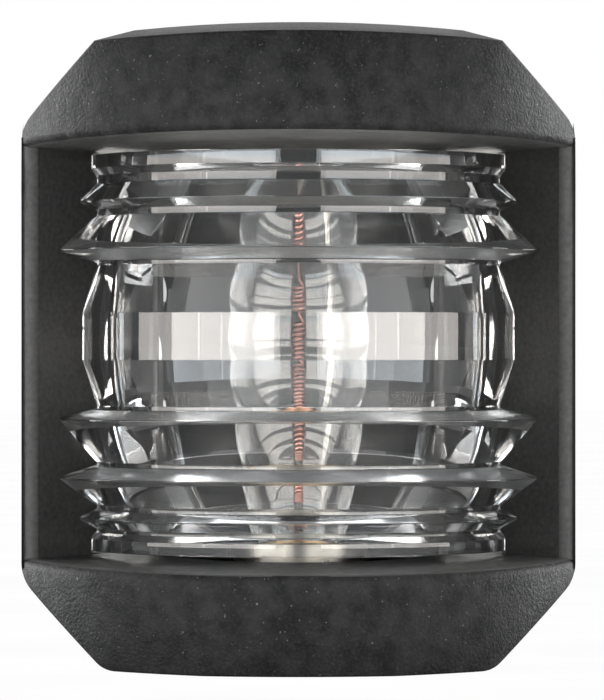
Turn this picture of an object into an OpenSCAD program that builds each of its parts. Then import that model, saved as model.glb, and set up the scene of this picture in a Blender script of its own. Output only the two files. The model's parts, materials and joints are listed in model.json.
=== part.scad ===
// Surface-mounted navigation light with a fresnel drum lens, hooded on all sides.
// The origin is the centre of the mounting face. The back lies at Y = 0, the light shines along -Y, +Z is up.
// "Forward" values are measured from the vertical lens axis towards -Y.

/* [Housing] */
// Width of the housing
housing_w = 70; // [66:0.5:86]
// Distance from the mounting face to the lens axis
axis_back = 17; // [16:0.5:22]
// Distance from the lens axis forward to the flat rims beside the recess
rim_forward = 13.6; // [11:0.1:17]
// Wall thickness of the housing
wall = 2.2; // [1.6:0.1:2.6]
// Height of the upper edge of the recess above the origin
recess_top = 26.9; // [26.5:0.1:32.5]
// Depth of the lower edge of the recess below the origin
recess_drop = 27.45; // [27:0.05:33]
// Height of the upper hood at the front
upper_hood_h = 12.2; // [11.8:0.1:15]
// Height of the lower hood at the front
lower_hood_h = 12.55; // [12:0.05:16]
// Width of the flat rims beside the recess
rim_w = 2.1; // [1.5:0.1:3]
// Angle of the diagonal upper corners
upper_corner_deg = 43.8; // [38:0.2:50]
// Angle of the diagonal lower corners
lower_corner_deg = 45.6; // [40:0.2:50]
// Rise of the vertical sides above and below the recess
side_rise = 1.3; // [0.8:0.1:2]
// Slope of the top surface, which climbs towards the wall
top_draft_deg = 4.7; // [2:0.1:6]
// Radius of the crown across the top surface
crown_r = 206; // [150:1:400]
// Inward slope of the recess floor and ceiling
recess_lead = 1.65; // [0.8:0.05:2.4]

/* [Hinge] */
// Distance from the mounting face to the hinge pin
pin_back = 6.5; // [6.5:0.1:8]
// Radius of the rounded edge around the hinge pin
knuckle_r = 6.2; // [6:0.1:6.4]
// Radius of the hinge pin
pin_r = 1; // [0.8:0.05:1.2]
// Radius of the hinge eyes
eye_r = 2.8; // [2.4:0.1:2.9]
// Width of each base lug
lug_w = 4; // [3:0.1:5]
// Distance from the middle to the inner face of each base lug
lug_x = 14; // [13.5:0.1:14.5]

/* [Lens] */
// Radius of the lens between its rings
lens_r = 26.2; // [24:0.1:28]
// Radius of the hollow inside the lens
lens_bore_r = 19.4; // [17:0.1:21]
// Angle from the side at which the lens enters the recess wall
lens_wrap_deg = 13.7; // [12:0.1:16]
// Height of the large fresnel rings above the lens radius
big_ring = 5.6; // [4:0.1:6.5]
// Height of the small fresnel rings above the lens radius
small_ring = 2.5; // [1.5:0.1:3.2]
// Height of the central facet above the lens radius
belt = 2.2; // [1.4:0.1:3]
// Height of the flange at each end of the lens
end_flange = 0.8; // [0.5:0.1:1.2]

/* [Base] */
// Thickness of the foam pad behind the base
pad_t = 1.5; // [1:0.1:1.8]
// Thickness of the base plate
plate_t = 3; // [2.4:0.1:3.2]
// Height of the upper edge of the base plate
plate_top = 25.9; // [25.2:0.1:26]
// Distance between the two mounting holes
mount_spacing = 48; // [46:0.5:50]
// Radius of the mounting holes
mount_hole_r = 2.25; // [1.8:0.05:2.6]
// Radius of the cable hole in the grommet
cable_r = 2.6; // [2:0.1:3]
// Height of the cable entry above the origin
cable_z = 19.6; // [18:0.1:19.8]
// Thickness of the tongue that holds the cover screw
tongue_t = 4; // [3.4:0.1:4]

/* [Cover screw] */
// Distance from the mounting face to the cover screw
screw_back = 9; // [8.8:0.1:9.6]
// Radius of the cover screw's thread
screw_r = 2; // [1.5:0.05:2.2]
// Radius of the cover screw's head
screw_head_r = 3.7; // [3.2:0.1:4]
// Height of the cover screw's head
screw_head_h = 2.4; // [1.8:0.1:2.6]

/* [Lamp] */
// Radius of the glass globe
globe_r = 9.1; // [8:0.1:9.4]
// Thickness of the globe's glass
globe_t = 0.55; // [0.4:0.05:0.8]
// Radius of the bayonet cap
cap_r = 7.5; // [7:0.05:7.5]
// Distance from the bayonet pins to the middle of the filament
light_centre = 19; // [18.6:0.1:19.4]
// Height of the filament's middle above the origin
filament_z = 1.9; // [1.5:0.1:2.2]
// Travel of the sprung contact
plunger_travel = 1.5; // [1:0.1:1.5]

/* [Hidden] */
$fn = 96;

// Clearances
running_gap = 0.05;   // pins and screws that turn
slip_gap = 0.2;       // parts that slide into place by hand
moving_gap = 0.3;     // faces that pass each other
swing_gap = 0.6;      // faces that pass while the cover swings
lens_gap = 0.3;       // around the lens, where it goes through the recess walls

// Recess and hoods
half_w = housing_w / 2;
hood_r = norm([half_w, rim_forward]);
rim_x = half_w - rim_w;
foot = lens_r * [cos(lens_wrap_deg), sin(lens_wrap_deg)];
flare = atan2(rim_x - foot[0], rim_forward - foot[1]);
recess_foot = 5;
ceiling_z = recess_top - recess_lead;
floor_z = -recess_drop + recess_lead;
front_top = recess_top + upper_hood_h;
front_bottom = -recess_drop - lower_hood_h;
side_top = recess_top + side_rise;
side_bottom = -recess_drop - side_rise;
front_y = -axis_back - hood_r;
reach = 2 * hood_r;
skirt_y = -0.8;
bottom_tilt = 1.2;
bottom_crown_r = 570;
side_corner_r = 4.5;
boss_rise = 0.6;          // of the screw boss above the inside of the bottom
lower_corner_r = 3.5;
upper_corner_r = 2;

// Hinge
top_slope = tan(top_draft_deg);
pin_z = front_top + (axis_back + hood_r - pin_back) * top_slope - knuckle_r;
rib_w = 4;
rib_gap = 0.5;
rib_x = lug_x - rib_gap - rib_w;
pin_len = 2 * (lug_x + lug_w) + 1;
lug_rear = -pin_back + 2;
lug_front = -pin_back - 2.2;
lug_foot_h = 8;

// Base
plate_y = -pad_t - plate_t;
plate_inset = wall + 0.4;
pad_inset = plate_inset + 0.5;
boss_top = front_bottom + wall + boss_rise;
tongue_z = boss_top + swing_gap;
plate_bottom = tongue_z;
tongue_w = 13;
tongue_y = -screw_back - 4.5;
insert_r = 2.9;
ceiling_rear = -10.5;
chamber_x = lens_bore_r - slip_gap;
mount_boss_r = mount_hole_r + 2.6;
mount_boss_t = 1;
grommet_r = 4;
grommet_flange_r = 5;
grommet_flange_t = 1;
tapping_r = 0.9;          // core of the small self-tapping screws
pan_head_r = 1.9;
pan_head_t = 1.1;

// Cover screw
seat_z = boss_top - 1.8;
head_z = seat_z - moving_gap - 0.6;
washer_t = 0.6;
screw_top = tongue_z + tongue_t - 0.4;
drive_slot_w = 1;

// Lamp and holder
pins_z = filament_z - light_centre;
bayonet_pin_r = 1;
cap_top = pins_z + 7.6;
cap_bottom = pins_z - 6.9;
button_z = cap_bottom - 1.6;
shell_t = 0.5;
shell_r = cap_r + slip_gap + shell_t;
shell_top = pins_z + 3.6;
insulator_t = 1.6;
head_t = 1.2;
spring_solid_h = 1.7;     // the contact spring when it is pressed flat
insulator_z = button_z - head_t - plunger_travel - spring_solid_h - insulator_t;
terminal_z = insulator_z + 3;
terminal_block_t = 1.8;
block_w = 14;
shell_bottom = insulator_z;
strip_t = 0.4;
strip_w = 6;
strip_rear = plate_y - terminal_block_t;
slot_turn = 40;
stalk_r = 1.4;
band_t = 0.7;
band_h = 6;
band_z = insulator_z + 5.6;
leaf_t = 0.8;
leaf_z = band_z + band_h - 3.5;
leaf_h = 7;
block_bottom = tongue_z + tongue_t + slip_gap;
block_top = leaf_z - 0.9;
bracket_screw_places = [[-6, leaf_z + leaf_h / 2], [6, leaf_z + leaf_h / 2]];
wire_r = 0.22;
coil_r = 2.1;
coil_turns = 3;
neck_r = 6;
glass_end_z = cap_top - 5;
stem_r = 2.4;
stem_top = -3.4;
lead_r = 0.25;
lead_x = 2.3;
filament_h = 4;
filament_r = 0.45;
filament_grip = 0.6;      // length of each lead inside the coil's end
tall_lead_z = filament_z + filament_h / 2 + 2.2;

// Back shield
shield_t = 1;
shield_y = -7.2;
shield_w = 38;
shield_neck_w = 26;
shield_bottom = leaf_z + leaf_h + 0.8;
shield_top = ceiling_z - 0.7;
shield_step = 17.5;

// Lens seat
ear_back = -1.5;
ear_t = 2.8;
ear_x = 29.2;
seal_t = 0.8;
clamp_t = 2.2;
clamp_inner = 26;
clamp_screw_r = 0.9;
clamp_head_r = 1.7;
clamp_screw_x = half_w - wall - clamp_head_r - 0.1;
clamp_high = 20.2;
clamp_low = -21.4;
clamp_screw_l = 4;

// Lens rings: [upper edge, tip, lower edge, height]. Those above the belt slope on top, the others below.
upper_rings = [[21.3, 19.1, 18.1, small_ring], [17.2, 12.8, 11.5, big_ring]];
lower_rings = [
    [-7.6, -8.7, -14.2, big_ring], [-14.8, -16.2, -19.7, big_ring],
    [-20.4, -21.4, -22.7, small_ring]
];
belt_edges = [10.9, 4.8, -1.15, -7];
upper_flange = [23.3, 22.4];
lower_flange = [-23.2, -24];
slope_gap = 0.4;          // share of the clearance that a sloping ring face needs along the axis
lens_slot_shy = 0.02;     // keeps the slot's ends off the recess floor and ceiling planes

// ---- Outlines ----

// A line is [angle of its outward normal, distance from the origin].
function line_through(deg, p) = [deg, p[0] * cos(deg) + p[1] * sin(deg)];
function inset(l, e) = [l[0], l[1] - e];
function meet(a, b) =
    let (det = sin(b[0] - a[0]))
    [(a[1] * sin(b[0]) - b[1] * sin(a[0])) / det, (b[1] * cos(a[0]) - a[1] * cos(b[0])) / det];

// The corner between lines a and b, rounded with radius r.
function round_corner(a, b, r) =
    let (c = meet(inset(a, r), inset(b, r)), turn = b[0] - a[0], n = max(1, ceil(turn / 9)))
    [for (i = [0:n]) c + r * [cos(a[0] + turn * i / n), sin(a[0] + turn * i / n)]];

// The housing seen from the front, as closed half-planes with their corner radii, inset by e.
function outline_lines(e) = [for (l = [
    [0, half_w],
    line_through(upper_corner_deg, [half_w, side_top]),
    [90, front_top + hood_r * 0.2],
    line_through(180 - upper_corner_deg, [-half_w, side_top]),
    [180, half_w],
    line_through(180 + lower_corner_deg, [-half_w, side_bottom]),
    line_through(270 - bottom_tilt, [0, front_bottom]),
    line_through(270 + bottom_tilt, [0, front_bottom]),
    line_through(360 - lower_corner_deg, [half_w, side_bottom]),
    [360, half_w]
]) inset(l, e)];
corner_radii = [
    side_corner_r, upper_corner_r, upper_corner_r, side_corner_r,
    side_corner_r, lower_corner_r, bottom_crown_r, lower_corner_r, side_corner_r
];
function outline(e) =
    let (l = outline_lines(e))
    [for (i = [0:len(corner_radii) - 1]) each round_corner(l[i], l[i + 1], max(corner_radii[i] - e, 0.4))];

// Solids that are drawn from the front, from above and from the side.
module from_front(y0, y1) { translate([0, y1, 0]) rotate([90, 0, 0]) linear_extrude(y1 - y0) children(); }
module from_side(x0, x1) {
    translate([x0, 0, 0]) rotate([90, 0, 90]) linear_extrude(x1 - x0) children();
}
module from_above(z0, z1) { translate([0, 0, z0]) linear_extrude(z1 - z0) children(); }
module at_axis(z) { translate([0, -axis_back, z]) children(); }
module both_sides() { children(); mirror([1, 0, 0]) children(); }

// ---- Housing ----

module plan_shape(e) {
    intersection() {
        union() {
            translate([0, -axis_back]) circle(hood_r - e, $fn = 180);
            translate([-half_w, -axis_back]) square([housing_w, axis_back + e]);
        }
        translate([-half_w + e, -reach]) square([housing_w - 2 * e, reach + e]);
    }
}

// The drafted and crowned top, as a long cylinder below the top surface.
module crown(e) {
    translate([0, front_y, front_top - e]) rotate([top_draft_deg, 0, 0]) translate([0, 0, -crown_r])
        rotate([-90, 0, 0]) translate([0, 0, -reach]) cylinder(r = crown_r, h = 4 * reach, $fn = 360);
}

// The rear edge, rounded about the hinge pin, in side view.
module rear_shape(e) {
    translate([-pin_back, pin_z]) circle(knuckle_r - e);
    translate([-reach, -reach]) square([reach - pin_back, 2 * reach]);
    translate([-reach, -reach]) square([reach + (e > 0 ? e : skirt_y), reach + pin_z]);
}

module housing_block(e) {
    intersection() {
        from_front(front_y - 1, e) polygon(outline(e));
        from_above(-reach, reach) plan_shape(e);
        crown(e);
        from_side(-half_w, half_w) rear_shape(e);
    }
}

// The hood's underside, the sill and the flared walls.
module ceiling_plate() {
    from_side(-half_w, half_w) polygon([
        [front_y, recess_top], [-axis_back - recess_foot, ceiling_z], [ceiling_rear, ceiling_z],
        [ceiling_rear, ceiling_z + wall], [-axis_back - recess_foot, ceiling_z + wall],
        [front_y, recess_top + wall]
    ]);
}

module floor_plate() {
    from_side(-half_w, half_w) polygon([
        [front_y, -recess_drop], [-axis_back - recess_foot, floor_z], [plate_y - moving_gap, floor_z],
        [plate_y - moving_gap, floor_z - wall], [-axis_back - recess_foot, floor_z - wall],
        [front_y, -recess_drop - wall]
    ]);
}

module flared_wall() {
    back = wall * [cos(flare), -sin(flare)];
    from_above(floor_z - wall, ceiling_z + wall) translate([0, -axis_back]) mirror([0, 1]) polygon([
        foot - back, [rim_x, rim_forward] - back, [half_w, rim_forward + wall],
        [half_w, rim_forward - 2 * wall], [rim_x, rim_forward - wall * 1.5],
        foot + back, foot + back - [wall, wall]
    ]);
}

module recess() {
    intersection() {
        from_above(-reach, reach) translate([0, -axis_back]) mirror([0, 1]) polygon([
            foot, [rim_x, rim_forward], [housing_w, rim_forward], [housing_w, reach],
            [-housing_w, reach], [-housing_w, rim_forward], [-rim_x, rim_forward],
            [-foot[0], foot[1]], [-foot[0], 0], [foot[0], 0]
        ]);
        from_side(-housing_w, housing_w) polygon([
            [-axis_back, ceiling_z], [-axis_back - recess_foot, ceiling_z],
            [front_y, recess_top], [front_y - 1, recess_top],
            [front_y - 1, -recess_drop], [front_y, -recess_drop],
            [-axis_back - recess_foot, floor_z], [-axis_back, floor_z]
        ]);
    }
}

// The ledge on each side that the lens ears are clamped against.
module lens_ledge() {
    from_above(floor_z - wall, ceiling_z + wall) translate([0, -axis_back]) mirror([0, 1]) polygon([
        [ear_x + moving_gap, ear_back], [half_w - wall / 2, ear_back],
        [half_w - wall / 2, rim_forward - wall], [rim_x, rim_forward - wall], [foot[0] + wall, foot[1]],
        [foot[0] + wall, ear_back + ear_t], [ear_x + moving_gap, ear_back + ear_t]
    ]);
}

module clamp_screw_places() {
    both_sides() for (z = [clamp_high, clamp_low])
        translate([clamp_screw_x, -axis_back - ear_back, z]) rotate([90, 0, 0]) children();
}

module hinge_rib() {
    intersection() {
        housing_block(wall / 2);
        from_side(rib_x, rib_x + rib_w) {
            translate([-pin_back, pin_z]) circle(eye_r);
            translate([-pin_back - eye_r, pin_z]) square([2 * eye_r, knuckle_r]);
        }
    }
}

module screw_boss() {
    intersection() {
        housing_block(wall / 2);
        translate([-tongue_w / 2, tongue_y - 1, front_bottom - wall])
            cube([tongue_w, -tongue_y + 1 + skirt_y, boss_top - front_bottom + wall]);
    }
}

// A round seat that is open towards the wall, so that the cover can swing off the screw.
module open_slot(r, z0, z1) {
    from_above(z0, z1) {
        translate([0, -screw_back]) circle(r);
        translate([-r, -screw_back]) square([2 * r, screw_back + 1]);
    }
}

module lamp_way() {
    from_above(floor_z - wall - 1, floor_z + 1) {
        translate([0, -axis_back]) circle(chamber_x);
        translate([-chamber_x, -axis_back]) square([2 * chamber_x, axis_back]);
    }
}

module housing() {
    color([0.1, 0.1, 0.11]) difference() {
        union() {
            difference() {
                housing_block(0);
                housing_block(wall);
            }
            intersection() {
                housing_block(wall / 2);
                union() {
                    ceiling_plate();
                    floor_plate();
                    both_sides() lens_ledge();
                }
            }
            intersection() {
                housing_block(0);
                both_sides() flared_wall();
            }
            both_sides() hinge_rib();
            screw_boss();
        }
        recess();
        lens_turned(lens_bore_r - 2, lens_gap, slip_gap - lens_slot_shy);
        lamp_way();
        open_slot(screw_r + slip_gap, front_bottom - wall, boss_top + 1);
        open_slot(screw_head_r + swing_gap, front_bottom - 2 * wall, seat_z);
        translate([-pin_len / 2, -pin_back, pin_z]) rotate([0, 90, 0])
            cylinder(r = pin_r + running_gap, h = pin_len);
        clamp_screw_places() cylinder(r = clamp_screw_r, h = clamp_screw_l + slip_gap);
    }
}

// ---- Lens ----

// The outside of the lens from top to bottom, grown by g.
function lens_outside(g, low, high) = concat(
    [[lens_r + end_flange + g, high], [lens_r + end_flange + g, upper_flange[0] - g]],
    [[lens_r + g, upper_flange[1] - g]],
    [for (k = upper_rings) each [
        [lens_r + g, k[0] + slope_gap * g], [lens_r + k[3] + g, k[1] + slope_gap * g],
        [lens_r + k[3] + g, k[1] - g], [lens_r + g, k[2] - g]
    ]],
    [[lens_r + g, belt_edges[0]], [lens_r + belt + g, belt_edges[1]]],
    [[lens_r + belt + g, belt_edges[2]], [lens_r + g, belt_edges[3]]],
    [for (k = lower_rings) each [
        [lens_r + g, k[0] + g], [lens_r + k[3] + g, k[1] + g],
        [lens_r + k[3] + g, k[1] - slope_gap * g], [lens_r + g, k[2] - slope_gap * g]
    ]],
    [[lens_r + g, lower_flange[0] + g], [lens_r + end_flange + g, lower_flange[1] + g]],
    [[lens_r + end_flange + g, low]]
);

// The half drum from radius r_in outwards, grown by g outside and by end_gap at its ends.
module lens_turned(r_in, g = 0, end_gap = 0) {
    low = floor_z + slip_gap - end_gap;
    high = ceiling_z - slip_gap + end_gap;
    at_axis(0) rotate([0, 0, 180]) rotate_extrude(angle = 180, $fn = 240)
        polygon(concat([[r_in, low], [r_in, high]], lens_outside(g, low, high)));
}

module lens() {
    color([0.92, 0.93, 0.9, 0.35]) {
        lens_turned(lens_bore_r);
        both_sides() translate([lens_bore_r, -axis_back - 0.01, floor_z + slip_gap])
            cube([ear_x - lens_bore_r, -ear_back + 0.01, ceiling_z - floor_z - 2 * slip_gap]);
        both_sides() translate([lens_r - 1, -axis_back - ear_back - ear_t, floor_z + slip_gap])
            cube([ear_x - lens_r + 1, ear_t, ceiling_z - floor_z - 2 * slip_gap]);
    }
}

// The lens ears are pressed forward by a clamp on each side, through a rubber strip.
module clamp_bar(x0, x1, y, t, end_gap) {
    both_sides() translate([x0, y, floor_z + end_gap]) cube([x1 - x0, t, ceiling_z - floor_z - 2 * end_gap]);
}

module lens_seals() {
    color([0.16, 0.16, 0.16]) clamp_bar(clamp_inner, ear_x, -axis_back - ear_back, seal_t, slip_gap);
}

module lens_clamps() {
    color([0.16, 0.16, 0.17]) difference() {
        clamp_bar(clamp_inner, half_w - wall - slip_gap, -axis_back - ear_back, clamp_t, slip_gap);
        clamp_bar(clamp_inner - 1, ear_x + slip_gap, -axis_back - ear_back - 1, 1 + seal_t, -1);
        clamp_screw_places() translate([0, 0, -clamp_t - 1])
            cylinder(r = clamp_screw_r + slip_gap, h = clamp_t + 2);
    }
}

module clamp_screws() {
    color([0.75, 0.75, 0.74]) clamp_screw_places() translate([0, 0, -clamp_t]) {
        cylinder(r = clamp_screw_r, h = clamp_t + clamp_screw_l);
        difference() {
            translate([0, 0, -0.9]) cylinder(r = clamp_head_r, h = 0.9);
            translate([-2, -0.25, -1]) cube([4, 0.5, 0.6]);
        }
    }
}

// ---- Base ----

module plate_shape(e) {
    intersection() {
        polygon(outline(e));
        translate([-half_w, plate_bottom + e - plate_inset])
            square([housing_w, plate_top - plate_bottom - 2 * (e - plate_inset)]);
    }
}

module mounting_places() { both_sides() translate([mount_spacing / 2, 0, 0]) children(); }

module wall_pad() {
    color([0.2, 0.2, 0.2]) difference() {
        from_front(-pad_t, 0) plate_shape(pad_inset);
        mounting_places() from_front(-pad_t - 1, 1) circle(mount_hole_r + 0.5);
        translate([0, 0, cable_z]) from_front(-pad_t - 1, 1) circle(grommet_flange_r + slip_gap);
    }
}

module lug() {
    from_side(lug_x, lug_x + lug_w) {
        translate([-pin_back, pin_z]) circle(eye_r);
        translate([lug_front, plate_top - lug_foot_h]) {
            square([lug_rear - lug_front, pin_z - plate_top + lug_foot_h]);
            square([plate_y + 0.5 - lug_front, lug_foot_h]);
        }
    }
}

module base_plate() {
    color([0.17, 0.17, 0.18]) difference() {
        union() {
            from_front(plate_y, -pad_t) plate_shape(plate_inset);
            mounting_places() from_front(plate_y - mount_boss_t, plate_y) circle(mount_boss_r);
            both_sides() lug();
            translate([-tongue_w / 2, tongue_y, tongue_z]) cube([tongue_w, plate_y + 1 - tongue_y, tongue_t]);
        }
        mounting_places() from_front(plate_y - 2, 1) circle(mount_hole_r);
        translate([0, 0, cable_z]) from_front(plate_y - 1, 1) circle(grommet_r);
        translate([-pin_len / 2, -pin_back, pin_z]) rotate([0, 90, 0]) cylinder(r = pin_r, h = pin_len);
        translate([0, -screw_back, tongue_z - 1]) cylinder(r = insert_r, h = tongue_t + 2);
        for (p = bracket_screw_places) translate([p[0], 0, p[1]])
            from_front(plate_y - 1, -pad_t - 0.5) circle(tapping_r);
        translate([0, 0, terminal_z]) from_front(plate_y - 1, -pad_t - 0.5) circle(tapping_r);
    }
}

module hinge_pin() {
    color([0.8, 0.8, 0.8]) translate([-pin_len / 2, -pin_back, pin_z]) rotate([0, 90, 0])
        cylinder(r = pin_r, h = pin_len);
}

module cable_grommet() {
    color([0.13, 0.13, 0.13]) translate([0, 0, cable_z]) difference() {
        union() {
            from_front(plate_y, -pad_t) circle(grommet_r);
            from_front(plate_y - grommet_flange_t, plate_y) circle(grommet_flange_r);
            from_front(-pad_t, -pad_t + grommet_flange_t) circle(grommet_flange_r);
        }
        from_front(plate_y - 5, 1) circle(cable_r);
    }
}

module thread_insert() {
    color([0.8, 0.65, 0.35]) translate([0, -screw_back, tongue_z]) difference() {
        cylinder(r = insert_r, h = tongue_t);
        translate([0, 0, -1]) cylinder(r = screw_r + running_gap, h = tongue_t + 2);
    }
}

// ---- Back shield ----

module back_shield() {
    color([0.14, 0.14, 0.15]) {
        from_front(shield_y, shield_y + shield_t) {
            translate([-shield_w / 2, shield_bottom]) square([shield_w, shield_step - shield_bottom]);
            translate([-shield_neck_w / 2, shield_step]) square([shield_neck_w, shield_top - shield_step]);
        }
        both_sides() for (z = [shield_bottom + 4, shield_step - 5])
            translate([shield_w / 2 - 4, 0, z]) from_front(shield_y + shield_t, plate_y) circle(1.8);
    }
}

// ---- Lamp holder ----

module terminal_block() {
    color([0.3, 0.2, 0.12]) difference() {
        translate([-block_w / 2, plate_y - terminal_block_t, block_bottom])
            cube([block_w, terminal_block_t, block_top - block_bottom]);
        translate([0, 0, terminal_z]) from_front(plate_y - 4, plate_y + 1) circle(tapping_r);
    }
}

module live_strip() {
    color([0.75, 0.6, 0.3]) difference() {
        union() {
            translate([-strip_w / 2, -axis_back - 3, insulator_z - strip_t])
                cube([strip_w, axis_back + 3 + strip_rear, strip_t]);
            translate([-strip_w / 2, strip_rear - strip_t, insulator_z - strip_t])
                cube([strip_w, strip_t, terminal_z - insulator_z + strip_t + 2.6]);
        }
        at_axis(insulator_z - 1) cylinder(r = stalk_r + slip_gap, h = 2);
        translate([0, 0, terminal_z]) from_front(plate_y - 4, plate_y) circle(tapping_r + slip_gap);
    }
}

module pan_screw(l) {
    difference() {
        union() {
            cylinder(r = tapping_r, h = l);
            translate([0, 0, -pan_head_t]) cylinder(r = pan_head_r, h = pan_head_t);
        }
        translate([-2.5, -0.3, -1.2]) cube([5, 0.6, 0.7]);
    }
}

module screw_at(x, y, z, l) { translate([x, y, z]) rotate([-90, 0, 0]) pan_screw(l); }

module terminal_screw() { color([0.78, 0.66, 0.38]) screw_at(0, strip_rear - strip_t, terminal_z, 4.6); }

module holder_bracket() {
    color([0.78, 0.78, 0.75]) difference() {
        union() {
            at_axis(band_z) cylinder(r = shell_r + band_t, h = band_h);
            translate([-3, -axis_back, leaf_z]) cube([6, axis_back + plate_y, band_z + band_h - leaf_z]);
            translate([-8.5, plate_y - leaf_t, leaf_z]) cube([17, leaf_t, leaf_h]);
        }
        at_axis(band_z - 1) cylinder(r = shell_r, h = band_h + 2);
        for (p = bracket_screw_places) translate([p[0], 0, p[1]])
            from_front(plate_y - 3, plate_y + 1) circle(tapping_r + slip_gap);
    }
}

module bracket_screws() {
    color([0.75, 0.75, 0.74]) for (p = bracket_screw_places)
        screw_at(p[0], plate_y - leaf_t, p[1], leaf_t + 2.2);
}

// A slot in the holder: open from the top at slot_turn, and turning to the lamp's seat.
module bayonet_slot() {
    slot_r = bayonet_pin_r + slip_gap;
    at_axis(pins_z) {
        rotate([0, 0, slot_turn]) translate([0, -slot_r, -slot_r]) cube([2 * cap_r, 2 * slot_r, 12]);
        rotate([90, 0, 90]) cylinder(r = slot_r, h = 2 * cap_r);
        rotate_extrude(angle = slot_turn) translate([cap_r - 1, -slot_r]) square([4, 2 * slot_r]);
    }
}

module holder_shell() {
    color([0.8, 0.79, 0.74]) difference() {
        at_axis(shell_bottom) cylinder(r = shell_r, h = shell_top - shell_bottom);
        at_axis(shell_bottom - 1) cylinder(r = shell_r - shell_t, h = shell_top - shell_bottom + 2);
        bayonet_slot();
        at_axis(0) rotate([0, 0, 180]) translate([0, axis_back, 0]) bayonet_slot();
        translate([-strip_w / 2 - 0.5, -axis_back, shell_bottom - 1]) cube([strip_w + 1, axis_back, 1.8]);
    }
}

module holder_insulator() {
    color([0.35, 0.22, 0.12]) difference() {
        at_axis(insulator_z) cylinder(r = shell_r - shell_t, h = insulator_t);
        at_axis(insulator_z - 1) cylinder(r = stalk_r + running_gap, h = insulator_t + 2);
    }
}

module contact_plunger() {
    color([0.8, 0.66, 0.36]) {
        at_axis(button_z - head_t) cylinder(r = 3, h = head_t);
        at_axis(insulator_z - 0.6) cylinder(r = stalk_r, h = button_z - head_t - insulator_z + 0.6);
    }
}

module contact_spring() {
    z0 = insulator_z + insulator_t + wire_r;
    z1 = button_z - head_t - wire_r;
    color([0.7, 0.7, 0.68]) at_axis(0) for (i = [0:coil_turns])
        translate([0, 0, z0 + (z1 - z0) * i / coil_turns]) rotate_extrude()
            translate([coil_r, 0]) circle(wire_r, $fn = 24);
}

// ---- Cover screw ----

module cover_screw() {
    color([0.76, 0.76, 0.75]) translate([0, -screw_back, 0]) difference() {
        union() {
            translate([0, 0, head_z - screw_head_h]) cylinder(r = screw_head_r, h = screw_head_h);
            translate([0, 0, head_z]) cylinder(r = screw_r, h = screw_top - head_z);
        }
        translate([-screw_head_r - 1, -drive_slot_w / 2, head_z - screw_head_h - 1])
            cube([2 * screw_head_r + 2, drive_slot_w, 2]);
    }
}

module screw_washer() {
    color([0.12, 0.12, 0.12]) translate([0, -screw_back, head_z]) difference() {
        cylinder(r = screw_head_r + 0.2, h = washer_t);
        translate([0, 0, -1]) cylinder(r = screw_r + running_gap, h = washer_t + 2);
    }
}

// ---- Lamp ----

module lamp_globe() {
    neck_l = filament_z - glass_end_z;
    color([0.9, 0.95, 1, 0.3]) at_axis(filament_z) difference() {
        union() {
            sphere(r = globe_r, $fn = 160);
            translate([0, 0, -neck_l]) cylinder(r = neck_r, h = neck_l);
        }
        sphere(r = globe_r - globe_t, $fn = 160);
        translate([0, 0, 1 - neck_l]) cylinder(r = neck_r - globe_t, h = neck_l - 1);
    }
}

module lamp_stem() {
    color([0.72, 0.45, 0.3]) at_axis(0) {
        translate([0, 0, glass_end_z + 1]) cylinder(r = stem_r + 0.6, h = 2);
        translate([0, 0, glass_end_z + 3]) cylinder(r = stem_r - 0.9, h = stem_top - glass_end_z - 3);
        translate([0, 0, stem_top - 1.2]) cylinder(r = stem_r, h = 1.2);
    }
}

module wire(p, q) {
    d = q - p;
    translate(p) rotate([0, acos(d[2] / norm(d)), atan2(d[1], d[0])]) cylinder(r = lead_r, h = norm(d));
}

module lamp_leads() {
    low = [0, 0, filament_z - filament_h / 2 - filament_grip];
    high = [0, 0, filament_z + filament_h / 2 + filament_grip];
    color([0.75, 0.74, 0.72]) at_axis(0) {
        wire([0, 0, stem_top], low);
        wire([lead_x - 0.8, 0, stem_top], [lead_x, 0, tall_lead_z]);
        wire([lead_x, 0, tall_lead_z], high);
        translate([lead_x, 0, tall_lead_z]) sphere(r = lead_r, $fn = 24);
    }
}

module lamp_filament() {
    color([0.55, 0.2, 0.16]) at_axis(filament_z - filament_h / 2 - filament_grip)
        cylinder(r = filament_r, h = filament_h + 2 * filament_grip);
}

module lamp_cap() {
    color([0.82, 0.7, 0.45]) at_axis(cap_bottom) difference() {
        cylinder(r = cap_r, h = cap_top - cap_bottom);
        translate([0, 0, 0.8]) cylinder(r = neck_r + 0.2, h = cap_top - cap_bottom);
        translate([0, 0, -1]) cylinder(r = 4.5, h = 3);
    }
}

module lamp_pins() {
    color([0.8, 0.7, 0.5]) for (a = [0, 180]) at_axis(pins_z) rotate([0, 0, a]) rotate([0, 90, 0])
        translate([0, 0, cap_r]) cylinder(r = bayonet_pin_r, h = 1.1);
}

module lamp_insulator() {
    color([0.08, 0.08, 0.1]) at_axis(cap_bottom - 0.6) cylinder(r = 4.5, h = 1.4);
}

module lamp_button() {
    color([0.7, 0.7, 0.68]) at_axis(button_z) cylinder(r = 2.3, h = cap_bottom - 0.6 - button_z);
}

housing();
lens();
lens_seals();
lens_clamps();
clamp_screws();
wall_pad();
base_plate();
hinge_pin();
cable_grommet();
thread_insert();
back_shield();
terminal_block();
live_strip();
terminal_screw();
holder_bracket();
bracket_screws();
holder_shell();
holder_insulator();
contact_plunger();
contact_spring();
cover_screw();
screw_washer();
lamp_globe();
lamp_stem();
lamp_leads();
lamp_filament();
lamp_cap();
lamp_pins();
lamp_insulator();
lamp_button();
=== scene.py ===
"""Looks of a hooded navigation light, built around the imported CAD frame.

Sizes are in millimetres and become metres where a mesh or a node is made. Only the studio at the end is in
metres. "Forward" is measured from the vertical lens axis towards -Y, as in the CAD source.
"""

import json
import math

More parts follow.
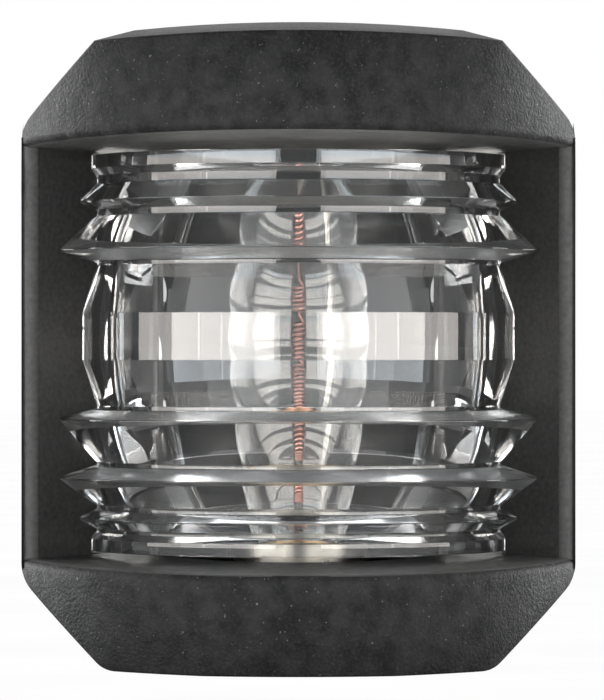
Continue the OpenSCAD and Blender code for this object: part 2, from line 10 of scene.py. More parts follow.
import bmesh
import bpy
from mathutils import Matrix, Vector


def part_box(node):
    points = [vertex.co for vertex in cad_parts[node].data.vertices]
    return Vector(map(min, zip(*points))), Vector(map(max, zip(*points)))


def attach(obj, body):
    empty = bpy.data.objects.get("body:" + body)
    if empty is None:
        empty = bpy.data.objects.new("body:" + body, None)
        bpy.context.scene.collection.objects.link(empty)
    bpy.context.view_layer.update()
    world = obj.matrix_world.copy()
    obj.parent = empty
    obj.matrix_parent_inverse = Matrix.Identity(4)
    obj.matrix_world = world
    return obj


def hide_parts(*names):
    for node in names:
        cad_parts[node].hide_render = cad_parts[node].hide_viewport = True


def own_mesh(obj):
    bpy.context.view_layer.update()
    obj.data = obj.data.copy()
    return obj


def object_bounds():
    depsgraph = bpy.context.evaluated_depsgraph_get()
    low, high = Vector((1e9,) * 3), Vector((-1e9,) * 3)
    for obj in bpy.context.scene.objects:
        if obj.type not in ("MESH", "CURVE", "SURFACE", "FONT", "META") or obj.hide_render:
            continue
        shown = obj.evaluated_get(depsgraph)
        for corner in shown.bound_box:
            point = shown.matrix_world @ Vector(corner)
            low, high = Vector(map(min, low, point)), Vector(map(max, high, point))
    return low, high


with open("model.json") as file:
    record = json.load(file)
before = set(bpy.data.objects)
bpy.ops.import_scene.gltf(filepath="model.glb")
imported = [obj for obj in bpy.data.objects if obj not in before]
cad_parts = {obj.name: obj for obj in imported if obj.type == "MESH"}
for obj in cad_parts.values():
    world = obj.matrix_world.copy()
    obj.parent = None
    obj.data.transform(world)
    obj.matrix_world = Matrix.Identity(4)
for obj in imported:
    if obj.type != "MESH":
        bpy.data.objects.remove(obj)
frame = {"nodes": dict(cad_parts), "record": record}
CAD_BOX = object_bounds()

MM = 0.001
NODES = frame["nodes"]
scene = bpy.context.scene


# ---- Places and sizes from the frame ----

def box_mm(node):
    """The two corners of a CAD node's box."""
    return [Vector(corner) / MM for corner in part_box(node)]


def middle(node):
    """The middle of a CAD node's box, in metres."""
    low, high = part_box(node)
    return [(a + b) / 2 for a, b in zip(low, high)]


# Height of the large rings above the lens radius, as in the CAD.
BIG_RING = 5.6
LENS_LOW, LENS_HIGH = box_mm("lens")
GLOBE_LOW, GLOBE_HIGH = box_mm("lamp_globe")
# The Y of the lens axis, which is the lamp's axis too, in metres and in millimetres.
AXIS_M = middle("lamp_cap")[1]
AXIS_Y = AXIS_M / MM
AXIS = Vector((0, AXIS_Y, 0))
SIDE_X = CAD_BOX[1][0] / MM
LENS_R = round(LENS_HIGH.x - BIG_RING, 3)
HOOD_R = round(AXIS_Y - CAD_BOX[0][1] / MM, 3)
GLOBE_R = (GLOBE_HIGH.x - GLOBE_LOW.x) / 2


# ---- Materials ----

# A noise is mostly between these two values.
NOISE_LOW = 0.3
NOISE_HIGH = 0.7


class Nodes:
    """The node tree of a material or a world, with short calls for the nodes used here."""

    def __init__(self, owner, output="ShaderNodeOutputMaterial"):
        self.owner = owner
        owner.use_nodes = True
        self.tree = owner.node_tree
        self.tree.nodes.clear()
        self.out = self.new(output)

    def new(self, kind, **settings):
        node = self.tree.nodes.new(kind)
        for key, value in settings.items():
            setattr(node, key, value)
        return node

    def link(self, source, target):
        self.tree.links.new(source, target)

    def shader(self, **inputs):
        bsdf = self.new("ShaderNodeBsdfPrincipled")
        for key, value in inputs.items():
            bsdf.inputs[key.replace("_", " ")].default_value = value
        self.link(bsdf.outputs[0], self.out.inputs["Surface"])
        return bsdf

    def noise(self, size, detail=2.0, rough=0.5):
        """Noise with features about size millimetres across."""
        coords = self.new("ShaderNodeTexCoord")
        node = self.new("ShaderNodeTexNoise")
        node.inputs["Scale"].default_value = 1000 / size
        node.inputs["Detail"].default_value = detail
        node.inputs["Roughness"].default_value = rough
        self.link(coords.outputs["Object"], node.inputs["Vector"])
        return node.outputs["Fac"]

    def between(self, fac, low, high, start=NOISE_LOW, stop=NOISE_HIGH):
        """A value that runs from low to high as fac runs from start to stop."""
        node = self.new("ShaderNodeMapRange")
        for key, value in zip(("From Min", "From Max", "To Min", "To Max"), (start, stop, low, high)):
            node.inputs[key].default_value = value
        self.link(fac, node.inputs["Value"])
        return node.outputs["Result"]

    def coordinate(self, kind, axis):
        split = self.new("ShaderNodeSeparateXYZ")
        self.link(self.new("ShaderNodeTexCoord").outputs[kind], split.inputs[0])
        return split.outputs[axis]

    def place(self, axis, start, stop):
        """0 up to start and 1 from stop on, in millimetres along an axis of the light."""
        return self.between(self.coordinate("Object", axis), 0.0, 1.0, start * MM, stop * MM)

    def maths(self, how, a, b):
        node = self.new("ShaderNodeMath", operation=how)
        self.link(a, node.inputs[0])
        self.link(b, node.inputs[1])
        return node.outputs[0]

    def times(self, a, b):
        return self.maths("MULTIPLY", a, b)

    def attribute(self, name):
        return self.new("ShaderNodeAttribute", attribute_name=name).outputs["Fac"]

    def colours(self, fac, low, high, start=NOISE_LOW, stop=NOISE_HIGH):
        """A colour that runs from low to high as fac runs from start to stop."""
        node = self.new("ShaderNodeValToRGB")
        node.color_ramp.elements[0].position = start
        node.color_ramp.elements[0].color = (*low, 1)
        node.color_ramp.elements[1].position = stop
        node.color_ramp.elements[1].color = (*high, 1)
        self.link(fac, node.inputs["Fac"])
        return node.outputs["Color"]

    def blend(self, fac, a, b):
        """Colour a where fac is 0, colour b where it is 1."""
        node = self.new("ShaderNodeMix", data_type="RGBA")
        self.link(fac, node.inputs[0])
        for socket, value in ((node.inputs[6], a), (node.inputs[7], b)):
            if isinstance(value, tuple):
                socket.default_value = (*value, 1)
            else:
                self.link(value, socket)
        return node.outputs[2]

    def bump(self, bsdf, height, depth):
        """Bump that is depth millimetres deep."""
        node = self.new("ShaderNodeBump")
        node.inputs["Strength"].default_value = 1.0
        node.inputs["Distance"].default_value = depth * MM
        self.link(height, node.inputs["Height"])
        self.link(node.outputs["Normal"], bsdf.inputs["Normal"])


def material(name):
    return Nodes(bpy.data.materials.new(name))


GRAIN_DARK = (0.0006, 0.0006, 0.0009)
GRAIN_PALE = (0.0240, 0.0240, 0.0250)
# Rounded edges of the grained plastic are painted this pale: partly scuffing, partly a painted highlight.
GRAIN_WORN_AND_HIGHLIT = (0.070, 0.069, 0.067)
GRAIN_DUST = (0.30, 0.30, 0.31)
# The plain plastic is painted paler than the grained one: partly its smoother finish, partly a painted
# reflection of the light in the recess.
PLAIN_DARK = (0.026, 0.0255, 0.0245)
PLAIN_PALE = (0.046, 0.045, 0.043)
# Rounded edges of the plain plastic are painted this pale: partly scuffing, partly a painted highlight.
PLAIN_WORN_AND_HIGHLIT = (0.17, 0.168, 0.162)
CEILING_PAINTED_SHEEN = (0.30, 0.29, 0.27)
# The recess ceiling is painted paler over the lens: a painted reflection of the light there. It turns paler
# from the first height to the second, and inwards from the first distance off the middle to the second.
CEILING_HEIGHTS = (25.3, 25.6)
CEILING_WIDTHS = (21, 13)


def eroded_plastic(name):
    """Black plastic from a spark-eroded mould: a fine grain with dust in it, and edges painted paler, partly
    as scuffing and partly as a painted highlight.
    """
    m = material(name)
    bsdf = m.shader(Specular_IOR_Level=0.08)
    grain = m.noise(0.42, detail=3.0, rough=0.65)
    body = m.colours(grain, GRAIN_DARK, GRAIN_PALE, 0.48, 0.74)
    patches = m.between(m.noise(2.4, detail=4.0), 0.35, 1.0, 0.35, 0.65)
    # Rounded edges are painted paler, partly as scuffing and partly as a painted highlight.
    worn_and_highlit = m.blend(m.times(m.attribute("wear_and_highlight"), patches), body, GRAIN_WORN_AND_HIGHLIT)
    specks = m.between(m.noise(0.40, detail=1.0), 0.0, 1.0, 0.72, 0.79)
    dust = m.times(specks, m.between(m.noise(14.0), 0.2, 0.9))
    m.link(m.blend(dust, worn_and_highlit, GRAIN_DUST), bsdf.inputs["Base Color"])
    m.link(m.between(m.noise(0.7, detail=3.0), 0.36, 0.48), bsdf.inputs["Roughness"])
    m.bump(bsdf, grain, 0.16)
    return m.owner


def painted_sheen_mask(m):
    """1 on the recess ceiling over the lens, where a painted reflection goes, 0 elsewhere."""
    outer, inner = CEILING_WIDTHS
    across = m.times(m.place("X", -outer, -inner), m.place("X", outer, inner))
    return m.times(m.place("Z", *CEILING_HEIGHTS), across)


def plain_plastic(name):
    """The same plastic off the mould's plain steel, smoother, in the recess and on the rims, and painted
    paler, partly as a painted reflection.
    """
    m = material(name)
    bsdf = m.shader(Specular_IOR_Level=0.14)
    body = m.colours(m.noise(0.6, detail=4.0), PLAIN_DARK, PLAIN_PALE)
    # Painted reflection: patches of the ceiling over the lens are painted paler, as if catching the light.
    painted_sheen_fac = m.times(painted_sheen_mask(m), m.between(m.noise(4.0, detail=3.0), 0.6, 1.0))
    body_with_painted_sheen = m.blend(painted_sheen_fac, body, CEILING_PAINTED_SHEEN)
    # Rounded edges are painted paler, partly as scuffing and partly as a painted highlight.
    rubbed_and_highlit = m.times(m.attribute("wear_and_highlight"), m.between(m.noise(1.2, detail=4.0), 0.6, 1.0))
    m.link(m.blend(rubbed_and_highlit, body_with_painted_sheen, PLAIN_WORN_AND_HIGHLIT), bsdf.inputs["Base Color"])
    m.link(m.between(m.noise(1.6, detail=4.0), 0.34, 0.46), bsdf.inputs["Roughness"])
    m.bump(bsdf, m.noise(0.5, detail=3.0), 0.02)
    return m.owner


def textured_plastic(name, low, high, grain, depth, rough=(0.42, 0.6), level=0.5):
    """Plain plastic or rubber in two near colours, with a grain so many millimetres wide and deep."""
    m = material(name)
    bsdf = m.shader(Specular_IOR_Level=level)
    m.link(m.colours(m.noise(grain * 3), low, high), bsdf.inputs["Base Color"])
    m.link(m.between(m.noise(6.0), *rough), bsdf.inputs["Roughness"])
    m.bump(bsdf, m.noise(grain, detail=3.0, rough=0.6), depth)
    return m.owner


def clear(name, colour, ior, ripple=0.0, size=6.0, haze=0.0, rough=0.0):
    """Clear plastic or glass, with a faint moulding ripple so many millimetres deep."""
    m = material(name)
    bsdf = m.shader(Base_Color=(*colour, 1), Roughness=rough, IOR=ior, Transmission_Weight=1.0 - haze)
    if ripple:
        m.bump(bsdf, m.noise(size, detail=1.0), ripple)
    return m.owner


def metal(name, low, high, rough=(0.2, 0.35)):
    m = material(name)
    bsdf = m.shader(Metallic=1.0)
    m.link(m.colours(m.noise(3.0, detail=4.0), low, high), bsdf.inputs["Base Color"])
    m.link(m.between(m.noise(1.5, detail=4.0), *rough), bsdf.inputs["Roughness"])
    m.bump(bsdf, m.noise(0.3, detail=2.0), 0.004)
    return m.owner


HOUSING = eroded_plastic("housing_plastic")
HOUSING_PLAIN = plain_plastic("housing_plain")
BASE = textured_plastic(
    "base_plastic", (0.006, 0.006, 0.007), (0.012, 0.012, 0.014), grain=0.6, depth=0.02, level=0.2)
RUBBER = textured_plastic(
    "seal_rubber", (0.022, 0.022, 0.022), (0.038, 0.038, 0.037), grain=1.0, depth=0.02)
FOAM = textured_plastic(
    "pad_foam", (0.03, 0.03, 0.032), (0.05, 0.05, 0.052), grain=0.5, depth=0.15, rough=(0.8, 0.95))
SHIELD = textured_plastic(
    "shield_plastic", (0.008, 0.008, 0.008), (0.016, 0.016, 0.016), grain=4.0, depth=0.01,
    rough=(0.3, 0.4), level=0.3)
PHENOLIC = textured_plastic(
    "phenolic", (0.07, 0.03, 0.015), (0.15, 0.07, 0.035), grain=0.8, depth=0.02)
LENS = clear("lens_clear", (0.985, 0.985, 0.975), 1.58, ripple=0.01, haze=0.022)
LENS_RISER = clear("lens_riser", (0.99, 0.99, 0.985), 1.58, haze=0.22, rough=0.2)
GLASS = clear("lamp_glass", (0.99, 0.995, 1.0), 1.5, ripple=0.03, size=5.0, haze=0.05)
STEEL = metal("stainless", (0.45, 0.45, 0.44), (0.6, 0.6, 0.58))
NICKEL = metal("nickel", (0.30, 0.29, 0.26), (0.46, 0.44, 0.40), rough=(0.25, 0.4))
BRASS = metal("brass", (0.55, 0.36, 0.14), (0.75, 0.52, 0.24))
COPPER = metal("stem_copper", (0.55, 0.25, 0.12), (0.75, 0.38, 0.22))
FILAMENT = metal("filament", (0.62, 0.26, 0.2), (0.85, 0.48, 0.4), rough=(0.3, 0.45))
VITRITE = textured_plastic(
    "black_glass", (0.008, 0.008, 0.01), (0.02, 0.02, 0.025), grain=2.0, depth=0.01, rough=(0.1, 0.2))

FINISH = {
    "housing_plastic": HOUSING, "base_plastic": BASE, "clamp_plastic": BASE, "seal_rubber": RUBBER,
    "pad_foam": FOAM, "shield_plastic": SHIELD, "phenolic": PHENOLIC, "lens_clear": LENS,
    "lamp_glass": GLASS, "stainless": STEEL, "nickel": NICKEL, "brass": BRASS, "stem_copper": COPPER,
    "filament": FILAMENT, "black_glass": VITRITE,
}


def dress_cad_nodes():
    for part in frame["record"]["subparts"]:
        mesh = NODES[part["node"]].data
        mesh.materials.clear()
        mesh.materials.append(FINISH[part["material_slot"]])


dress_cad_nodes()


# ---- Mesh tools ----

def rounded(corners, steps):
    """The closed outline through corners of (point, radius), each one rounded by its own radius.

    A round is cut back where its sides are too short for it. A corner that is almost straight stays a point.
    """
    out = []
    count = len(corners)
    for i, (point, radius) in enumerate(corners):
        p = Vector(point)
        a = Vector(corners[i - 1][0]) - p
        b = Vector(corners[(i + 1) % count][0]) - p
        half = a.angle(b) / 2
        cut = min(radius / math.tan(half), 0.45 * a.length, 0.45 * b.length)
        if half > math.radians(88):
            out.append(p)
            continue
        r = cut * math.tan(half)
        centre = p + (a.normalized() + b.normalized()).normalized() * (r / math.sin(half))
        start = p + a.normalized() * cut - centre
        stop = p + b.normalized() * cut - centre
        spread = start.angle(stop)
        for k in range(steps + 1):
            t = k / steps
            arc = (start * math.sin((1 - t) * spread) + stop * math.sin(t * spread)) / math.sin(spread)
            out.append(centre + arc)
    return out


def face_of(bm, verts):
    """A face through verts, of which some may be the same, unless fewer than three are left."""
    corners = []
    for v in verts:
        if v not in corners:
            corners.append(v)
    if len(corners) > 2:
        bm.faces.new(corners)


def turned(bm, outline, steps, start=0.0, span=360.0):
    """Turns a closed (radius, height) outline about the lens axis, over a span of degrees."""
    full = span >= 360
    rings = []
    for k in range(steps if full else steps + 1):
        angle = math.radians(start + span * k / steps)
        ring = []
        for i, (r, z) in enumerate(outline):
            if r < 1e-6 and rings:
                ring.append(rings[0][i])
                continue
            place = Vector((r * math.cos(angle), r * math.sin(angle), z))
            ring.append(bm.verts.new((place + AXIS) * MM))
        rings.append(ring)
    count = len(outline)
    for one, two in zip(rings, rings[1:] + rings[:1] if full else rings[1:]):
        for i in range(count):
            j = (i + 1) % count
            face_of(bm, (one[i], one[j], two[j], two[i]))
    if not full:
        bm.faces.new(rings[0])
        bm.faces.new(rings[-1])


def prism(bm, outline, z0, z1):
    """An upright prism over a closed (x, y) outline."""
    low = [bm.verts.new(Vector((x, y, z0)) * MM) for x, y in outline]
    high = [bm.verts.new(Vector((x, y, z1)) * MM) for x, y in outline]
    bm.faces.new(low[::-1])
    bm.faces.new(high)
    for i in range(len(outline)):
        j = (i + 1) % len(outline)
        bm.faces.new((low[i], low[j], high[j], high[i]))


def new_object(name, bm, finish=None):
    """Turns a bmesh into an object of the scene and frees it."""
    mesh = bpy.data.meshes.new(name)
    bm.to_mesh(mesh)
    bm.free()
    if finish:
        mesh.materials.append(finish)
    ob = bpy.data.objects.new(name, mesh)
    scene.collection.objects.link(ob)
    return ob


def joined(solids):
    """One bmesh that is the union of closed solids."""
    objects = []
    for i, bm in enumerate(solids):
        bmesh.ops.recalc_face_normals(bm, faces=bm.faces)
        objects.append(new_object("solid_%d" % i, bm))
    first = objects[0]
    for other in objects[1:]:
        modifier = first.modifiers.new("union", "BOOLEAN")
        modifier.operation = "UNION"
        modifier.solver = "EXACT"
        modifier.object = other
    shape = bpy.data.meshes.new_from_object(first.evaluated_get(bpy.context.evaluated_depsgraph_get()))
    out = bmesh.new()
    out.from_mesh(shape)
    for ob in objects:
        bpy.data.objects.remove(ob)
    return out


def smooth_by_angle(mesh, degrees):
    """Smooth shading, with hard edges only where faces meet at more than so many degrees."""
    for polygon in mesh.polygons:
        polygon.use_smooth = True
    bm = bmesh.new()
    bm.from_mesh(mesh)
    for edge in bm.edges:
        edge.smooth = len(edge.link_faces) == 2 and edge.calc_face_angle(0) < math.radians(degrees)
    bm.to_mesh(mesh)
    bm.free()


def piece(name, bm, finish, body, stands_for, hard=30):
    """A finished piece on a body, in place of the CAD nodes that it stands for."""
    bmesh.ops.recalc_face_normals(bm, faces=bm.faces)
    ob = new_object(name, bm, finish)
    smooth_by_angle(ob.data, hard)
    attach(ob, body)
    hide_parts(*stands_for)
    return ob


# ---- Lens ----

# The lens in section, as in the CAD. Pairs of heights run from top to bottom.
BORE_R = 19.4
SMALL_RING = 2.5
# Rings as (upper root, tip, lower root, height above the lens radius), from top to bottom.
UPPER_RINGS = [(21.3, 19.1, 18.1, SMALL_RING), (17.2, 12.8, 11.5, BIG_RING)]
LOWER_RINGS = [
    (-7.6, -8.7, -14.2, BIG_RING), (-14.8, -16.2, -19.7, BIG_RING), (-20.4, -21.4, -22.7, SMALL_RING)
]
BELT = 2.2
BELT_ROOTS = (10.9, -7)
BELT_EDGES = (4.8, -1.15)
FLANGE = 0.8
UPPER_FLANGE = (23.3, 22.4)
LOWER_FLANGE = (-23.2, -24)

# Radii of the moulding's corners.
TIP_ROUND = 0.12
ROOT_ROUND = 0.16
BELT_ROUND = 0.1
BORE_ROUND = 0.1
END_ROUND = 0.15

# The ears that the lens is clamped by, beside the drum: how far out, forward and back they reach.
EAR_X = 29.2
EAR_STEP_X = LENS_R - 1
EAR_FRONT = 1.3
EAR_BACK = round(LENS_HIGH.y - AXIS_Y, 3)
EAR_SHY = 0.01

# The risers are the ring faces that lie nearly level. The Z of their normals is over this value, and they lie
# within this height of the origin.
STEEP = 0.93
RISERS_WITHIN = 23


def ring_corners(rings):
    out = []
    for root, tip, lower_root, height in rings:
        out.append(((LENS_R, root), ROOT_ROUND))
        out.append(((LENS_R + height, tip), TIP_ROUND))
        out.append(((LENS_R, lower_root), ROOT_ROUND))
    return out


def lens_outline():
    """The lens in section: up the bore, then down the outside from the upper flange to the lower one."""
    low = LENS_LOW.z
    high = LENS_HIGH.z
    flange_r = LENS_R + FLANGE
    belt_r = LENS_R + BELT
    corners = [((BORE_R, low), BORE_ROUND), ((BORE_R, high), BORE_ROUND)]
    corners += [((flange_r, high), END_ROUND), ((flange_r, UPPER_FLANGE[0]), TIP_ROUND)]
    corners += [((LENS_R, UPPER_FLANGE[1]), ROOT_ROUND)]
    corners += ring_corners(UPPER_RINGS)
    corners += [((LENS_R, BELT_ROOTS[0]), ROOT_ROUND), ((belt_r, BELT_EDGES[0]), BELT_ROUND)]
    corners += [((belt_r, BELT_EDGES[1]), BELT_ROUND), ((LENS_R, BELT_ROOTS[1]), ROOT_ROUND)]
    corners += ring_corners(LOWER_RINGS)
    corners += [((LENS_R, LOWER_FLANGE[0]), ROOT_ROUND)]
    corners += [((flange_r, LOWER_FLANGE[1]), TIP_ROUND), ((flange_r, low), END_ROUND)]
    return rounded(corners, steps=4)


def lens_ear(side):
    """The ear on one side, kept a hair off the drum's planes so that the two join cleanly."""
    inner = BORE_R + EAR_SHY
    plan = [(inner, -EAR_SHY), (EAR_STEP_X, -EAR_SHY), (EAR_STEP_X, -EAR_FRONT)]
    plan += [(EAR_X, -EAR_FRONT), (EAR_X, EAR_BACK), (inner, EAR_BACK)]
    bm = bmesh.new()
    prism(bm, [(side * x, AXIS_Y + y) for x, y in plan], LENS_LOW.z + EAR_SHY, LENS_HIGH.z - EAR_SHY)
    return bm


def is_riser(face):
    return abs(face.normal.z) > STEEP and abs(face.calc_center_median().z / MM) < RISERS_WITHIN


def lens():
    """The half drum with its rings and its ears as one clear moulding, with hazier risers."""
    drum = bmesh.new()
    turned(drum, lens_outline(), steps=200, start=180, span=180)
    bm = joined([drum, lens_ear(-1), lens_ear(1)])
    bm.normal_update()
    for face in bm.faces:
        face.material_index = int(is_riser(face))
    ob = piece("clear_lens", bm, LENS, "cover", ["lens"], hard=18)
    ob.data.materials.append(LENS_RISER)


# ---- Lamp ----

GLOBE_T = 0.55
NECK_R = 6.0
NECK_BLEND = 3.0
NECK_END_T = 1
BALL_STEPS = 40
BEND_STEPS = 8
FILAMENT_WIRE = 0.085
FILAMENT_R = 0.3
FILAMENT_TURNS = 13
# Heights over the filament's lower end at which its coil ends and its straight tail begins.
FILAMENT_COIL_H = 3.2
FILAMENT_TAIL_H = 3.6
SPRING_WIRE = 0.22
SPRING_TURNS = 4


def bulb_skin(r, neck, z_end, blend):
    """A surface of the bulb in section, from the top of the ball down to the end of the neck."""
    centre = GLOBE_HIGH.z - GLOBE_R
    out_r = neck + blend
    reach = math.sqrt((r + blend) ** 2 - out_r ** 2)
    join = math.atan2(-reach, out_r)
    out = [(0.0, centre + r)]
    for k in range(1, BALL_STEPS + 1):
        a = math.pi / 2 + (join - math.pi / 2) * k / BALL_STEPS
        out.append((r * math.cos(a), centre + r * math.sin(a)))
    first = math.atan2(reach, -out_r)
    for k in range(1, BEND_STEPS + 1):
        a = first + (math.pi - first) * k / BEND_STEPS
        out.append((out_r + blend * math.cos(a), centre - reach + blend * math.sin(a)))
    return out + [(neck, z_end), (0.0, z_end)]


def glass_bulb():
    """The blown glass bulb: a ball that runs smoothly into its neck, hollow, with a thin wall."""
    low = GLOBE_LOW.z
    bm = bmesh.new()
    turned(bm, bulb_skin(GLOBE_R, NECK_R, low, NECK_BLEND), steps=128)
    inner = bulb_skin(GLOBE_R - GLOBE_T, NECK_R - GLOBE_T, low + NECK_END_T, NECK_BLEND + GLOBE_T)
    turned(bm, inner, steps=128)
    piece("glass_bulb", bm, GLASS, "lamp", ["lamp_globe"], hard=60)


def wire_along(bm, path, radius, sides):
    """A round wire along a list of points."""
    rings = []
    up = Vector((0, 0, 1))
    for i, point in enumerate(path):
        ahead = (path[min(i + 1, len(path) - 1)] - path[max(i - 1, 0)]).normalized()
        side = ahead.cross(up)
        side = side.normalized() if side.length > 1e-3 else Vector((1, 0, 0))
        lift = side.cross(ahead)
        ring = []
        for k in range(sides):
            a = 2 * math.pi * k / sides
            ring.append(bm.verts.new((point + radius * (side * math.cos(a) + lift * math.sin(a))) * MM))
        rings.append(ring)
    for one, two in zip(rings, rings[1:]):
        for k in range(sides):
            j = (k + 1) % sides
            bm.faces.new((one[k], one[j], two[j], two[k]))
    bm.faces.new(rings[0])
    bm.faces.new(rings[-1])


def helix(z0, z1, radius, turns, per_turn):
    """Points on a helix about the lens axis."""
    out = []
    for k in range(turns * per_turn + 1):
        a = 2 * math.pi * k / per_turn
        z = z0 + (z1 - z0) * k / (turns * per_turn)
        out.append(Vector((radius * math.cos(a), AXIS_Y + radius * math.sin(a), z)))
    return out


def filament():
    low, high = box_mm("lamp_filament")
    coil = helix(low.z + FILAMENT_WIRE, low.z + FILAMENT_COIL_H, FILAMENT_R, FILAMENT_TURNS, per_turn=14)
    tail = [Vector((0, AXIS_Y, low.z + FILAMENT_TAIL_H)), Vector((0, AXIS_Y, high.z))]
    bm = bmesh.new()
    wire_along(bm, coil + tail, FILAMENT_WIRE, sides=8)
    piece("filament_coil", bm, FILAMENT, "lamp", ["lamp_filament"])


def contact_spring():
    """The helical spring under the centre contact, as a fixed helix at its full height."""
    low, high = box_mm("contact_spring")
    radius = (high.x - low.x) / 2 - SPRING_WIRE
    turns = helix(low.z + SPRING_WIRE, high.z - SPRING_WIRE, radius, SPRING_TURNS, per_turn=32)
    bm = bmesh.new()
    wire_along(bm, turns, SPRING_WIRE, sides=10)
    coil = piece("spring_coil", bm, STEEL, "base", ["contact_spring"])
    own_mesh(coil)


# ---- Housing ----

LIP_ROUND = 1.1
RIM_ROUND = 1.3
EDGE_ROUND = 0.3
# How far the flat rims lie forward, as in the CAD.
RIM_FORWARD = 13.6
# The heights, above and below the origin, between which the hoods' lips lie.
LIP_LOW = 25.5
LIP_HIGH = 27.5
# Corners between faces that meet at more than so many degrees are sharp.
SHARP_ANGLE = 25


def forward(p):
    return AXIS_Y - p.y


def off_axis(p):
    return math.hypot(p.x, forward(p))


def on_side(p, near):
    return abs(abs(p.x) - SIDE_X) < near


def on_hood(p):
    """On the round front of the hoods, about the lens axis."""
    return abs(off_axis(p) - HOOD_R) < 0.3 and forward(p) > RIM_FORWARD - 0.2


def on_lip(p):
    return on_hood(p) and LIP_LOW < abs(p.z) < LIP_HIGH


def on_rim(p):
    """On the outer upright edges of the flat rims."""
    return on_side(p, 0.05) and abs(forward(p) - RIM_FORWARD) < 0.1


def on_outside(p):
    return on_hood(p) or on_side(p, 0.1)


def behind_skin(p):
    """Forward of the lens axis, and inside the hood's front and the outer sides."""
    return forward(p) > 0 and off_axis(p) < HOOD_R - 0.6 and abs(p.x) < SIDE_X - 0.5


def on_plain_wall(p):
    """On the walls, ceiling and floor of the recess, and on the flat rims beside it."""
    if behind_skin(p):
        return abs(p.z) < LIP_HIGH
    return abs(p.z) < LIP_LOW and forward(p) > RIM_FORWARD - 1.5


def sharp_edges(bm, wanted):
    """The outer corners between faces whose two ends are both wanted."""
    corners = [e for e in bm.edges if len(e.link_faces) == 2 and e.is_convex]
    sharp = [e for e in corners if e.calc_face_angle(0) > math.radians(SHARP_ANGLE)]
    return [e for e in sharp if all(wanted(v.co / MM) for v in e.verts)]


# Which edges are rounded, by what radius, in how many steps, and how much paler they are painted: partly
# scuffing and partly a painted highlight where they catch the light.
ROUNDED_EDGES = ((on_lip, LIP_ROUND, 6, 0.6), (on_rim, RIM_ROUND, 5, 0.9), (on_outside, EDGE_ROUND, 3, 0.3))


def housing():
    """The moulded housing, with round lips on its hoods and its outer edges broken."""
    bm = bmesh.new()
    bm.from_mesh(NODES["housing"].data)
    bmesh.ops.remove_doubles(bm, verts=bm.verts, dist=0.001 * MM)
    bmesh.ops.dissolve_limit(bm, angle_limit=math.radians(0.5), verts=bm.verts, edges=bm.edges)
    # Rounded edges are marked to be painted paler, partly as scuffing and partly as a painted highlight.
    wear_and_highlight = bm.verts.layers.float.new("wear_and_highlight")
    for wanted, radius, segments, amount in ROUNDED_EDGES:
        made = bmesh.ops.bevel(bm, geom=sharp_edges(bm, wanted), offset=radius * MM, offset_type="OFFSET",
                               segments=segments, profile=0.5, affect="EDGES", clamp_overlap=False)
        for v in made["verts"]:
            v[wear_and_highlight] = max(v[wear_and_highlight], amount)
    low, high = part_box("housing")
    for v in bm.verts:
        v.co = Vector([min(max(c, a), b) for c, a, b in zip(v.co, low, high)])
    for face in bm.faces:
        face.material_index = int(on_plain_wall(face.calc_center_median() / MM))
    ob = piece("moulded_housing", bm, HOUSING, "cover", ["housing"], hard=32)
    ob.data.materials.append(HOUSING_PLAIN)


housing()
lens()
glass_bulb()
filament()
contact_spring()


# ---- Floor, light and camera ----

# Distances are in metres here, and the camera's own two sizes in millimetres as cameras have them.
CAMERA_DISTANCE = 0.670
CAMERA_X = 0.00045
CAMERA_Z = 0.0001
FOCAL_LENGTH = 267.2
SENSOR_WIDTH = 36.0
PANEL_DISTANCE = 0.55
FLOOR_BELOW = 0.0005
ROOM_LEVEL = 0.2
WARM = (1.0, 0.95, 0.90)
COOL = (0.86, 0.94, 1.0)


def camera_view():
    """Level with the lens, in front, as far away as the photograph's perspective says."""
    data = bpy.data.cameras.new("camera")
    data.lens = FOCAL_LENGTH
    data.sensor_width = SENSOR_WIDTH
    camera = bpy.data.objects.new("camera", data)
    scene.collection.objects.link(camera)
    camera.location = (CAMERA_X, AXIS_M - CAMERA_DISTANCE, CAMERA_Z)
    camera.rotation_euler = (math.radians(90), 0, 0)
    scene.camera = camera


def panel(name, azimuth, width, height, strength, colour, elevation=0.0, mirrored_only=False):
    """A soft panel that faces the lens, azimuth degrees round the lens axis from the camera.

    A panel that is mirrored only shows in gloss and glass and leaves the plain light alone.
    """
    around = math.radians(azimuth)
    up = math.radians(elevation)
    away = Vector((math.sin(around) * math.cos(up), -math.cos(around) * math.cos(up), math.sin(up)))
    data = bpy.data.lights.new(name, "AREA")
    data.shape = "RECTANGLE"
    data.size = width
    data.size_y = height
    data.energy = strength * math.pi * width * height
    data.color = colour
    light = bpy.data.objects.new(name, data)
    scene.collection.objects.link(light)
    light.location = Vector((0, AXIS_M, 0)) + away * PANEL_DISTANCE
    light.rotation_euler = (-away).to_track_quat("-Z", "Y").to_euler()
    light.visible_camera = False
    light.visible_diffuse = not mirrored_only


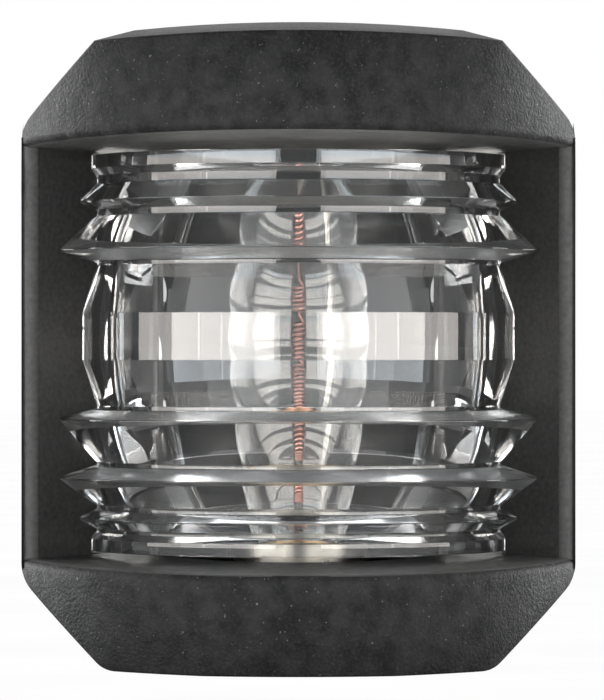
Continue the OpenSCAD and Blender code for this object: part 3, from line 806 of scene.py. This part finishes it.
def studio():
    for side, name in ((-1, "left"), (1, "right")):
        for place, azimuth, width in (("inner", 32, 0.40), ("outer", 70, 0.38)):
            where = "%s_%s" % (place, name)
            panel("band_" + where, side * azimuth, width, 0.15, 5.4, WARM, mirrored_only=True)
            panel("tall_" + where, side * azimuth, width, 0.34, 4.2, COOL, mirrored_only=True)
        panel("wide_" + name, side * 40, 0.53, 0.80, 1.65, (0.97, 0.98, 1.0))
        panel("side_" + name, side * 116, 0.30, 0.40, 4.5, (0.90, 0.95, 1.0), mirrored_only=True)
        panel("rim_" + name, side * 122, 0.30, 0.60, 6.0, (1.0, 0.99, 0.97))
    panel("overhead", 0, 0.5, 0.4, 1.2, (1, 1, 1), elevation=86)


def mixed(m, fac, a, b):
    """Shader a where fac is 0, shader b where it is 1, into the tree's output."""
    mix = m.new("ShaderNodeMixShader")
    m.link(fac, mix.inputs[0])
    m.link(a.outputs[0], mix.inputs[1])
    m.link(b.outputs[0], mix.inputs[2])
    m.link(mix.outputs[0], m.out.inputs["Surface"])


def background(m, colour, strength):
    node = m.new("ShaderNodeBackground")
    node.inputs["Color"].default_value = (*colour, 1)
    node.inputs["Strength"].default_value = strength
    return node


def white_world():
    """White behind the light, to the camera, in reflections and through glass, and a dim room in front."""
    world = bpy.data.worlds.new("studio")
    scene.world = world
    m = Nodes(world, "ShaderNodeOutputWorld")
    rays = m.new("ShaderNodeLightPath").outputs
    behind = m.between(m.coordinate("Generated", "Y"), 0.0, 1.0, 0.0, 0.3)
    mirrored = m.maths("ADD", rays["Is Glossy Ray"], rays["Is Transmission Ray"])
    seen = m.maths("MAXIMUM", rays["Is Camera Ray"], m.times(mirrored, behind))
    mixed(m, seen, background(m, (0.9, 0.95, 1.0), ROOM_LEVEL), background(m, (1, 1, 1), 1.0))


def floor():
    """A pale floor that looks white where the camera sees it."""
    m = material("floor_pale")
    matte = m.shader(Base_Color=(0.85, 0.85, 0.85, 1), Roughness=0.9)
    glow = m.new("ShaderNodeEmission")
    m.link(m.colours(m.noise(40.0), (0.97, 0.97, 0.97), (1, 1, 1)), glow.inputs["Color"])
    mixed(m, m.new("ShaderNodeLightPath").outputs["Is Camera Ray"], matte, glow)
    bm = bmesh.new()
    bmesh.ops.create_grid(bm, x_segments=8, y_segments=8, size=3)
    plane = new_object("floor", bm, m.owner)
    plane.location = (0, 0, CAD_BOX[0][2] - FLOOR_BELOW)


camera_view()
studio()
white_world()
floor()
scene.view_settings.view_transform = "Standard"
